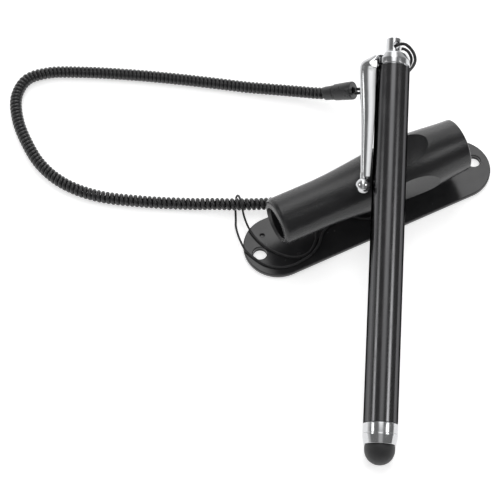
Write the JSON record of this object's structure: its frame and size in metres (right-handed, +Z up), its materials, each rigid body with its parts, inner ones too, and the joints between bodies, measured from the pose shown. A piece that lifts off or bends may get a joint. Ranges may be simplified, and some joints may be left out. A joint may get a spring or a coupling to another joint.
{
  "type": "touch-screen stylus with tether and holder",
  "caption": "Touch-screen stylus with a rubber dome tip and pocket clip, tied by a coil tether to a tubular counter-top holder on an oblong screw-down plate.",
  "frame": {"origin": "centre of the underside of the pad below the holder plate, on the surface it stands on", "axes": "+X along the plate towards the holder's open mouth, +Z up out of the plate, +Y away from the side where the stylus tip rests"},
  "size_m": [0.1152, 0.1551, 0.0394],
  "materials": {
    "plate_gloss_black": "polished moulded black plastic",
    "holder_satin_black": "fine-grained satin black plastic",
    "pad_rubber": "thin grey-black foam pad",
    "tip_rubber": "matte dark grey conductive rubber",
    "chrome": "bright chrome plate",
    "brass": "turned",
    "barrel_gloss_black": "gloss black lacquer on an aluminium tube",
    "plug_plastic": "moulded grey plastic",
    "tether_coat": "semi-gloss black coating on a wound wire",
    "connector_black": "satin black moulded plastic",
    "loop_cord": "fine braided black cord",
    "steel": "plain steel"
  },
  "bodies": {
    "root": {"base_pad": "pad_rubber", "base_plate": "plate_gloss_black", "holder_body": "holder_satin_black", "holder_screw": "steel", "tether_coil": "tether_coat", "pen_connector": "connector_black", "base_connector": "connector_black", "pen_crimp": "steel", "base_crimp": "steel", "base_loop": "loop_cord"},
    "stylus": {"rubber_tip": "tip_rubber", "tip_ferrule": "chrome", "tip_core": "brass", "pen_barrel": "barrel_gloss_black", "top_plug": "plug_plastic", "clip_collar": "chrome", "lanyard_post": "chrome", "pen_loop": "loop_cord"},
    "clip": {"pocket_clip": "chrome", "clip_ball": "chrome"}
  },
  "joints": [
    {"name": "stylus_lift", "type": "slide", "parent": "root", "child": "stylus", "axis": [0, 0, 1], "range_m": [0, 0.04]},
    {"name": "clip_flex", "type": "hinge", "parent": "stylus", "child": "clip", "pos_m": [0.01296, 0.02262, 0.03589], "axis": [-0.0146, 0.3412, -0.9399], "range_deg": [0, 4], "stiffness_Nm_per_rad": 0.5}
  ]
}
